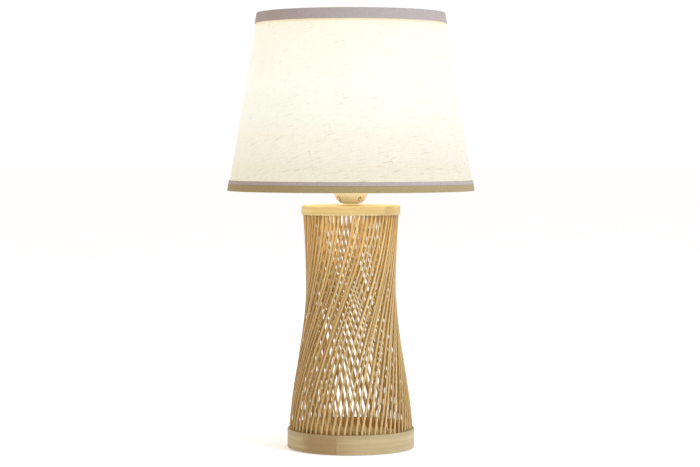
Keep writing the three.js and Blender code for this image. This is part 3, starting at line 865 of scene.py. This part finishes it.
length = bush_length / MM
bush_outline = rounded(
    in_mm([(3.2, 0), (4, 0), (4, 0.2), (4, 0.4),
           (4, length - 1.2), (5.5, length - 1.2), (5.5, length), (3.2, length)]),
    [0.2 * MM, 0.3 * MM, 0, 0, 0.15 * MM, 0.35 * MM, 0.5 * MM, 0.5 * MM])
bush = placed(lathe(bush_outline, 64, bush_shape), (0, bush_low.y, OUTLET_HEIGHT), -math.pi / 2, "X")
shown("outlet_bush", bush, RUBBER, "cord_bush")

# ---- top board and its fixings

radius, low, high = size_of("top_plate")
TUBE_HOLE = 5.3 * MM
board = rounded(
    [(TUBE_HOLE, low), *stepped((8 * MM, low), (radius - 1 * MM, low), 12), (radius, low),
     (radius, high), *stepped((radius - 1 * MM, high), (8 * MM, high), 12), (TUBE_HOLE, high)],
    [0.2 * MM, *[0] * 12, 0.3 * MM, 0.5 * MM, *[0] * 12, 0.3 * MM])
turned("top_board", board, BOARD, "top_plate", 192)
washer("washer", TUBE_HOLE, 0.25 * MM, ZINC, "nipple_washer", 96)


def nut_shape(r, z, azimuth):
    """A turned blank cut to six flats 17 mm apart."""
    turn = (azimuth + math.pi / 3) % (math.pi / 3) - math.pi / 6
    return min(r, 8.5 * MM / math.cos(turn)) if r > 7 * MM else r, azimuth, z


low = size_of("nipple_nut")[1]
nut = [(5.25, 0), (7.2, 0), (8.2, 0), (9.7, 0.9), *stepped((9.82, 1.0), (9.82, 2.7), 5), (9.7, 2.8),
       (8.2, 3.7), (7.2, 3.7), (5.25, 3.7)]
turned("nut", in_mm(nut, low), ZINC, "nipple_nut", 180, nut_shape, 30)


def threaded(outer, low, high, pitch, starts=6):
    """Outline points close enough together to carry a thread between two heights."""
    return stepped((outer, low), (outer, high), max(3, round((high - low) / pitch * starts) + 1))


def thread_shape(outer, low, high, pitch, depth):
    """Cuts a helical groove into the wall at radius outer, fading out at both ends."""

    def shape(r, z, azimuth):
        if abs(r - outer) < 1e-6 and low - 1e-6 < z < high + 1e-6:
            fade = min(1, (z - low) / pitch, (high - z) / pitch)
            r -= (1 - helix(azimuth, z, pitch)) * depth * max(0, fade)
        return r, azimuth, z

    return shape


radius, low, high = size_of("holder_nipple")
pipe = [(3.5 * MM, low), *threaded(radius, low, high, 1 * MM), (3.5 * MM, high)]
tube_thread = thread_shape(radius, low, high, 1 * MM, 0.45 * MM)
turned("threaded_tube", pipe, ZINC, "holder_nipple", 48, tube_thread, 60)
# The neck collar wears the paler, glowing copy of the cream plastic: painted light.
washer("neck_collar", TUBE_HOLE, 0.5 * MM, NECK_PAINTED_GLOW, "holder_spacer", 96)

# ---- lampholder

_, cap_low, cap_high = size_of("holder_cap")


def cap_slots():
    """Oblong vents, their length up the slope of the shoulder."""
    half, wide = 2.6 * MM, 2 * MM
    turns = np.linspace(0, math.pi, 13)
    outline = [(wide * math.cos(t), half + wide * math.sin(t)) for t in turns]
    outline += [(-x, -y) for x, y in outline]
    for quarter in range(4):
        slot = placed(block(outline, 8 * MM), (0, -15.6 * MM, 4.9 * MM + cap_low), math.radians(53), "X")
        yield placed(slot, (0, 0, 0), math.radians(37 + 90 * quarter))


cap_height = (cap_high - cap_low) / MM
dome = rounded(
    [(5.3, 0), (12.4, 0), (16.4, 4.6), (18.6, 8), (19.5, 11), (19.5, 12.6), (19.15, 12.9), (19.15, 13.5),
     (19.5, 13.8), (19.5, cap_height), (17.9, cap_height), (17.9, 11.2), (17.2, 8.8), (15.2, 5.6),
     (11.8, 2), (5.3, 2)],
    [0.2, 1.6, 2.2, 1.8, 1.0, 0.1, 0.1, 0.1, 0.1, 0.4, 0.2, 1, 1, 1.6, 1.2, 0.2], 5)
cap = carved(lathe(in_mm(dome, cap_low), 192), *cap_slots())
cap_piece = shown("lampholder_cap", cap, CREAM, "holder_cap", 32)
# The cap's inward faces and vent walls take the dark brown: painted shade inside the cap.
cap_piece.data.materials.append(CAP_INSIDE_SHADE.material)
for face in cap_piece.data.polygons:
    outwards = Vector((face.center.x, face.center.y, 0)).normalized()
    if face.normal.dot(outwards) < -0.15 and math.hypot(*face.center.xy) < 18.4 * MM:
        face.material_index = 1

_, low, high = size_of("holder_barrel")
height = (high - low) / MM
HOLDER_PITCH = 2.5 * MM  # the coarse thread that the clamp ring runs on
thread_at = (19.5 * MM, low + 3.6 * MM, high - 2 * MM, HOLDER_PITCH)
seat = [(17.4, 0), (22.3, 0), (22.3, 2.7), (19.5, 2.7), (19.5, 3.4)]
mouth = [(19.5, height - 1), (19.5, height), (14.6, height), (14.6, height - 1.8), (17.4, height - 1.8),
         (17.4, 6)]
barrel = [
    *rounded(in_mm(seat, low), 0.4 * MM, closed=False),
    *threaded(*thread_at, 8),
    *rounded(in_mm(mouth, low), 0.7 * MM, 4, closed=False),
]
turned("lampholder_barrel", barrel, CREAM, "holder_barrel", 128, thread_shape(*thread_at, 0.7 * MM), 45)

low = size_of("holder_insert")[1]
insert = rounded([(0, 0), (16.4, 0), (16.4, 9), (12.8, 9), (12.8, 12.5), (0, 12.5)],
                 [0, 0.8, 0.8, 0.5, 0.6, 0], 4)
SCREW_X = 9.5 * MM
holes = [placed(lathe(in_mm([(0, -4), (1.7, -4), (1.7, 4), (0, 4)]), 32), (x, 0, low + 2.8 * MM))
         for x in (-SCREW_X, SCREW_X)]
shown("lampholder_insert", carved(lathe(in_mm(insert, low), 128), *holes), PORCELAIN, "holder_insert")

_, low, high = size_of("screw_shell")
LAMP_PITCH = 3.63 * MM
shell_in = stepped((13.75 * MM, high - 0.3 * MM), (13.75 * MM, low + 1.2 * MM), 50)
shell_out = stepped((14.05 * MM, low + 1.2 * MM), (14.05 * MM, high - 0.3 * MM), 50)


def rolled(inside, start, end, run_in, run_out, depth):
    """Sheet rolled into the round lamp thread between two heights, where it is wider than inside."""

    def shape(r, z, azimuth):
        if r > inside and start < z < end:
            fade = min(1, (z - start) / run_in, (end - z) / run_out)
            r -= (1 - helix(azimuth, z, LAMP_PITCH)) * depth * fade
        return r, azimuth, z

    return shape


shell = [*in_mm([(4.5, 0), (13.6, 0)], low), *shell_out, *shell_in, *in_mm([(13.3, 0.5), (4.5, 0.5)], low)]
turned("lamp_screw_shell", shell, BRASS, "screw_shell", 96,
       rolled(13 * MM, low + 1 * MM, high, 3 * MM, 2 * MM, 0.5 * MM), 50)

tongue = rounded(
    [(-3.4, 0), (-1, 0), (1.6, 2.6), (3.2, 2.6), (3.2, 3.1), (1.4, 3.1), (-1.2, 0.5), (-3.4, 0.5)],
    [0.1, 1, 1, 0.1, 0.1, 1, 1, 0.1], 5)
spring = placed(block(in_mm(tongue), 4 * MM), (0, 0, size_of("centre_contact")[1]), math.pi / 2, "X")
shown("contact_spring", spring, BRASS, "centre_contact")

for index, side in ((1, -1), (2, 1)):
    node = f"terminal_screw_{index}"
    low = size_of(node)[1]
    thread_at = (1.4 * MM, low + 2 * MM, low + 8 * MM, 0.7 * MM)
    head = rounded(in_mm([(0, 0), (2.4, 0), (2.4, 1.6), (1.4, 1.6)], low), [0, 0.5 * MM, 0.15 * MM, 0], 4)
    outline = [*head, *threaded(*thread_at), *in_mm([(0.9, 8.2), (0, 8.2)], low)]
    screw = lathe(outline, 48, thread_shape(*thread_at, 0.25 * MM))
    kerf = block(in_mm([(-3, -0.3), (3, -0.3), (3, 0.3), (-3, 0.3)]), 1.4 * MM)
    screw = carved(screw, placed(kerf, (0, 0, low), 0.6 * side))
    shown(f"wire_screw_{index}", placed(screw, (side * SCREW_X, 0, 0)), BRASS, node)

# ---- bulb, its heights in mm above its tip

BULB_LOW = size_of("bulb_contact")[1]


def bulb_part(name, outline, finish, node, segments=96, shape=None, sharp=40):
    turned(name, in_mm(outline, BULB_LOW), finish, node, segments, shape, sharp)


bulb_part("bulb_tip_contact", [(0, 0), (1.6, 0.06), (3.0, 0.35), (3.9, 0.9), (4.4, 1.6), (0, 1.6)],
          ZINC, "bulb_contact", 64)
cone = rounded([(0, 1.9), (5.2, 1.9), (12, 5.6), (12, 6), (0, 6)], [0, 0.6, 0.3, 0.1, 0], 4)
bulb_part("bulb_insulator_ring", cone, GLASS, "bulb_insulator")
bulb_cap = [(0, 6.3), (12.2, 6.3), (12.9, 6.8), *stepped((13.2, 7.4), (13.2, 24.8), 44), (13.1, 25.5),
            (12.9, 25.7), (12.5, 25.5), *stepped((12.35, 24.8), (12.35, 7.6), 44), (11.9, 7.2), (0, 7.2)]
bulb_part("bulb_screw_cap", bulb_cap, ZINC, "bulb_cap", 96,
          rolled(12 * MM, BULB_LOW + 7.3 * MM, BULB_LOW + 24.6 * MM, 2.5 * MM, 2 * MM, 0.75 * MM), 60)
housing = rounded(
    [(11.6, 26), (13.2, 26), (13.6, 29), (15.4, 34), (17.4, 39), (18.5, 42), (18.5, 44), (16.9, 44),
     (16.9, 42.4), (11.9, 29)],
    [0.2, 0.4, 2, 2, 2, 1.6, 0.3, 0.3, 1, 0.6], 5)
bulb_part("bulb_housing_shell", housing, WHITE, "bulb_housing", 128)
light_board = rounded([(0, 44.3), (16.2, 44.3), (16.2, 45.9), (0, 45.9)], [0, 0.2, 0.2, 0], 2)
bulb_part("bulb_light_board", light_board, WHITE, "bulb_led_board")


def globe_wall(radius, top, spring=106):
    """One wall of the globe from its rim to just short of the axis, domed above the height spring."""
    side = stepped((radius, 44.3), (radius, spring), 12)
    return side + [(radius * math.cos(t), spring + (top - spring) * math.sin(t))
                   for t in np.linspace(0.08, math.pi / 2 - 0.06, 16)]


globe = [(0, 119.7), *globe_wall(17.2, 119.7)[::-1], *globe_wall(18.5, 121), (0, 121)]
bulb_part("bulb_opal_globe", globe, OPAL, "bulb_globe")

# ---- shade frame

_, low, high = size_of("fitter_ring")
fitter = rounded([(20.4 * MM, low), (27 * MM, low), (27 * MM, high), (20.4 * MM, high)], 0.5 * MM)
turned("fitter_washer", fitter, ENAMEL, "fitter_ring", 160)

_, low, high = size_of("clamp_ring")
rim = rounded(in_mm([(19.95, 0), (24.3, 0), (24.3, 1.8), (22.6, 1.8)], low), 0.4 * MM, closed=False)
ring = [
    *rim,
    *stepped((22.5 * MM, low + 2.2 * MM), (22.5 * MM, high - 0.9 * MM), 6),
    (22.2 * MM, high - 0.3 * MM), (21.6 * MM, high), (20.5 * MM, high),
    *threaded(20.05 * MM, low + 0.4 * MM, high - 0.3 * MM, HOLDER_PITCH, 8)[::-1],
]
GRIP_FROM = low + 2 * MM


def grip_shape(r, z, azimuth):
    """Finger ribs outside and a coarse thread inside."""
    if r > 21 * MM and z > GRIP_FROM:
        rib = max(0.0, math.cos(18 * azimuth)) ** 0.6
        r -= (1 - rib) * 0.7 * MM * min(1, (z - GRIP_FROM) / (0.6 * MM))
    if r < 20.3 * MM:
        r += (1 - helix(azimuth, z, HOLDER_PITCH)) * 0.35 * MM
    return r, azimuth, z


turned("clamp_nut_ring", ring, CREAM, "clamp_ring", 216, grip_shape, 50)


def shade_radius(height):
    """Radius of the shade's outside at a height above its bottom edge."""
    return SHADE_RADIUS - SHADE_TAPER * height


def arm_mesh(node, azimuth, bar=1.45 * MM, steps=60):
    """A straight wire with dressed ends and a bead of weld at the ring, where its CAD node lies."""
    corners = [v.co for v in frame["nodes"][node].data.vertices]
    radii = [math.hypot(c.x, c.y) for c in corners]
    ends = []
    for reach in (min(radii), max(radii)):
        heights = [c.z for c, r in zip(corners, radii) if abs(r - reach) < 2 * MM]
        ends.append(Vector(on_circle(reach, azimuth, (min(heights) + max(heights)) / 2)))
    start, end = ends
    length = max(radii) - min(radii)
    sizes = []
    for k in range(steps):
        span = k / (steps - 1) * length
        left = 1 - min(span, length - span) / (0.8 * MM)
        sizes.append(bar * math.sqrt(max(0.35, 1 - max(0, left) ** 2)))
    swell = [bar * (1 + 0.14 * math.sin(math.pi * k / 8)) for k in range(9)]
    bead = stepped(start.lerp(end, 0.004), start.lerp(end, 0.03), 9)
    return merged(tube(stepped(start, end, steps), sizes, 20), tube(bead, swell, 16))


for index in (1, 2, 3):
    node = f"shade_arm_{index}"
    shown(f"spider_arm_{index}", arm_mesh(node, index * TURN / 3 - math.pi / 3), ENAMEL, node)


def wire_ring(node):
    """A round hoop of wire, its ends butt-welded at the back."""
    radius, low, high = size_of(node)
    bar = 1.5 * MM
    middle = radius - bar
    azimuths = [TURN * i / 240 for i in range(240)]
    weld = [math.remainder(a - math.pi, TURN) * middle / bar for a in azimuths]
    sizes = [bar * (0.985 + 0.015 * math.exp(-w * w)) for w in weld]
    return tube([on_circle(middle, a, (low + high) / 2) for a in azimuths], sizes, 14, True)


for end in ("bottom", "top"):
    shown(f"edge_wire_{end}", wire_ring(f"shade_wire_{end}"), ENAMEL, f"shade_wire_{end}")

# ---- shade cloth


def flat_cut(azimuth, height):
    """Where a point of the cone lies in the cloth's flat cut, threads along its axes."""
    slant = shade_radius(height) / CONE_SINE
    turn = math.remainder(azimuth - GRAIN_AZIMUTH, TURN)
    if azimuth > GRAIN_AZIMUTH + math.pi and turn < 0:
        turn += TURN
    turn *= CONE_SINE
    return slant * math.sin(turn), -slant * math.cos(turn), 0


def cloth_sag(azimuth, share):
    """The cloth's own slight unevenness, round the cone and up it."""
    waves = [(2, 0.1 * MM, 0.4), (3, 0.08 * MM, 2.0), (7, 0.05 * MM, 1.0)]
    return ripple(azimuth, waves) * 0.6 + 0.05 * MM * math.sin(9 * azimuth + 14 * share)


def cone_sheet(node, inset, thickness, columns, rows):
    """A sheet rolled into the cone, its ends lapped at the seam."""
    _, low, high = size_of(node)
    points, strips = [], []
    sweep = TURN + LAP / SHADE_RADIUS
    for side in (0, 1):
        for i in range(columns + 1):
            share = i / columns
            azimuth = SEAM_AZIMUTH - TURN + share * sweep
            lapped = max(0.0, 1 - (1 - share) * sweep * SHADE_RADIUS / (LAP * 1.6))
            lapped = lapped * lapped * (3 - 2 * lapped)
            for k in range(rows + 1):
                height = low - BOTTOM + (high - low) * k / rows
                free = math.sin(math.pi * k / rows)
                radius = shade_radius(height) - inset - thickness * side
                radius += (lapped - 0.5) * thickness * 1.05 + cloth_sag(azimuth, k / rows) * free
                points.append(on_circle(radius, azimuth, height + BOTTOM))
                strips.append(flat_cut(azimuth, height))
    layer = (columns + 1) * (rows + 1)
    faces = grid_faces(columns + 1, rows + 1, False, False)
    faces += grid_faces(columns + 1, rows + 1, False, False, layer)
    rim = [(i * (rows + 1) + k, (i + 1) * (rows + 1) + k) for i in range(columns) for k in (0, rows)]
    rim += [(i * (rows + 1) + k, i * (rows + 1) + k + 1) for i in (0, columns) for k in range(rows)]
    faces += [(a, b, b + layer, a + layer) for a, b in rim]
    return mesh_of(points, faces, strip=strips)


def cone_cut(node):
    """The flat cut of a cone's cloth: its size and its area."""
    _, low, high = size_of(node)
    outer = shade_radius(low - BOTTOM) / CONE_SINE
    inner = shade_radius(high - BOTTOM) / CONE_SINE
    half = math.pi * CONE_SINE
    size = (2 * outer * math.sin(half) + LAP, outer - inner * math.cos(half))
    return size, half * (outer**2 - inner**2) + LAP * (outer - inner)


for name, node, inset, thickness, columns, rows, finish in (
    ("linen_cover", "shade_fabric", 1.15 * MM, 0.45 * MM, 288, 36, LINEN),
    ("inner_liner", "shade_liner", 2.1 * MM, 0.35 * MM, 240, 24, LINER),
):
    sheet = shown(name, cone_sheet(node, inset, thickness, columns, rows), finish, node, 60)
    flat, area = cone_cut(node)


def binding(node, towards):
    """A ribbon folded over an edge wire. towards is +1 for the bottom edge and -1 for the top."""
    _, low, high = size_of(node)
    edge = (low if towards > 0 else high) - BOTTOM
    depth = high - low

    def at(down, inset):
        height = edge + towards * down * MM
        return shade_radius(height) - inset * MM, height + BOTTOM

    tall = depth / MM
    lip = 6  # how far inside the face the inner lip lies, past the cloth, the liner and the wire
    outline = [
        at(0.35, lip + 0.55), at(0.02, lip - 0.5), at(0.0, 0.7), at(0.5, 0.08),
        *[at(0.5 + d, 0.08 + 0.02 * math.sin(d)) for d in np.linspace(0.6, tall - 1.4, 9)],
        at(tall - 0.35, 0.1), at(tall - 0.05, 0.3), at(tall - 0.05, 0.62), at(tall - 0.4, 0.68),
        *[at(tall - d, 0.68) for d in np.linspace(1.4, tall - 1.2, 7)],
        at(0.75, 1.0), at(0.6, lip - 0.4), at(1.0, lip - 0.02), at(3.2, lip), at(3.35, lip + 0.25),
        at(3.2, lip + 0.55),
    ][::towards]
    waves = [(9, 0.1 * MM, rng.uniform(0, 6)), (17, 0.07 * MM, rng.uniform(0, 6)), (41, 0.03 * MM, 0.5)]

    def shape(r, z, azimuth):
        away = math.remainder(azimuth - math.pi, TURN) * SHADE_RADIUS
        seam = math.exp(-((away / (7 * MM)) ** 6)) * 0.06 * MM
        share = abs(z - BOTTOM - edge) / depth
        rest = z - towards * abs(ripple(azimuth, waves)) * max(0, share - 0.5) * 2
        return r - 0.07 * MM + seam + ripple(azimuth * 3, waves) * 0.25, azimuth, rest

    return lathe(outline, 288, shape)


for end, towards, finish, radius in (
    ("bottom", 1, TAPE_LOWER, SHADE_RADIUS),
    ("top", -1, TAPE, shade_radius(TOP - BOTTOM)),
):
    node = f"shade_tape_{end}"
    tape = shown(f"binding_{end}", binding(node, towards), finish, node, 60)

# ---- stage, light and camera


def plain_finish(name, colour, glow):
    kit = Finish(name, Roughness=0.9, Emission_Strength=glow)
    tint = kit.position().noise(3).tones(dimmed(colour, 0.985), colour)
    return kit.wire(Base_Color=tint, Emission_Color=tint)


floor_mesh = bpy.data.meshes.new("floor")
floor_mesh.from_pydata([(-30, -30, 0), (30, -30, 0), (30, 30, 0), (-30, 30, 0)], [], [(0, 1, 2, 3)])
floor_mesh.materials.append(plain_finish("pale_floor", (0.885, 0.902, 0.935), 0.32).material)
floor = added("floor", floor_mesh)
floor.location.z = -0.2 * MM


def softbox(name, where, aim, power, size, colour=(1, 1, 1)):
    """An area light that looks at the height aim on the lamp's axis."""
    data = bpy.data.lights.new(name, "AREA")
    data.energy, data.size, data.color = power, size, colour
    light = added(name, data)
    light.location = where
    light.rotation_euler = (Vector((0, 0, aim)) - light.location).to_track_quat("-Z", "Y").to_euler()


world = bpy.data.worlds.new("studio")
bpy.context.scene.world = world
world.use_nodes = True
sky = Tree(world.node_tree)
backdrop = sky.tree.nodes["Background"]
backdrop.inputs["Color"].default_value = (1, 1, 1, 1)
backdrop.inputs["Strength"].default_value = 1.01
# The room's soft light falls off from right to left, and the backdrop itself stays white.
side = sky.out("TexCoord", (), "Generated").axes()[0].share(-1, 1)
room = sky.out("Background", {0: side.ramp((0, (0.62, 0.51, 0.38)), (1, (1.02, 1.04, 1.09)))})
seen = sky.out("LightPath", (), "Is Camera Ray")
choice = sky.out("MixShader", {0: seen, 1: room, 2: Signal(sky, backdrop.outputs[0])})
sky.tree.links.new(choice.socket, sky.tree.nodes["World Output"].inputs["Surface"])

softbox("key", (1.9, -1.7, 1.3), 0.25, 29, 0.9, (0.87, 1.0, 1.2))
softbox("fill", (-1.6, -1.9, 1.2), 0.2, 3, 1.4, (1.0, 0.94, 0.84))
softbox("back", (-1.0, 2.3, 1.4), 0.2, 8, 1.4)

for name, height, power, size, colour in (
    ("lamp_glow", 0.37, 0.45, 0.03, (1.0, 0.82, 0.56)),
    ("cap_glow", 0.286, 0.009, 0.002, (1.0, 0.64, 0.26)),
    ("body_glow", 0.235, 0.11, 0.03, (1.0, 0.8, 0.48)),
    ("foot_glow", 0.08, 0.03, 0.03, (1.0, 0.8, 0.48)),
):
    glow = bpy.data.lights.new(name, "POINT")
    glow.energy, glow.color, glow.shadow_soft_size = power, colour, size
    glow_place = added(name, glow)
    glow_place.location.z = height
    glow_place.parent = frame["bodies"]["lamp_body"]
bpy.data.objects["bulb_opal_globe"].visible_shadow = False

camera_data = bpy.data.cameras.new("camera")
camera_data.sensor_width = 36
camera_data.lens = 108.9257
camera_data.clip_end = 100
camera = added("camera", camera_data)
camera.location = (-0.001, -2.396, 0.3422)
camera.rotation_euler.x = math.radians(90 - 2.386)
bpy.context.scene.camera = camera
bpy.context.scene.view_settings.view_transform = "Standard"
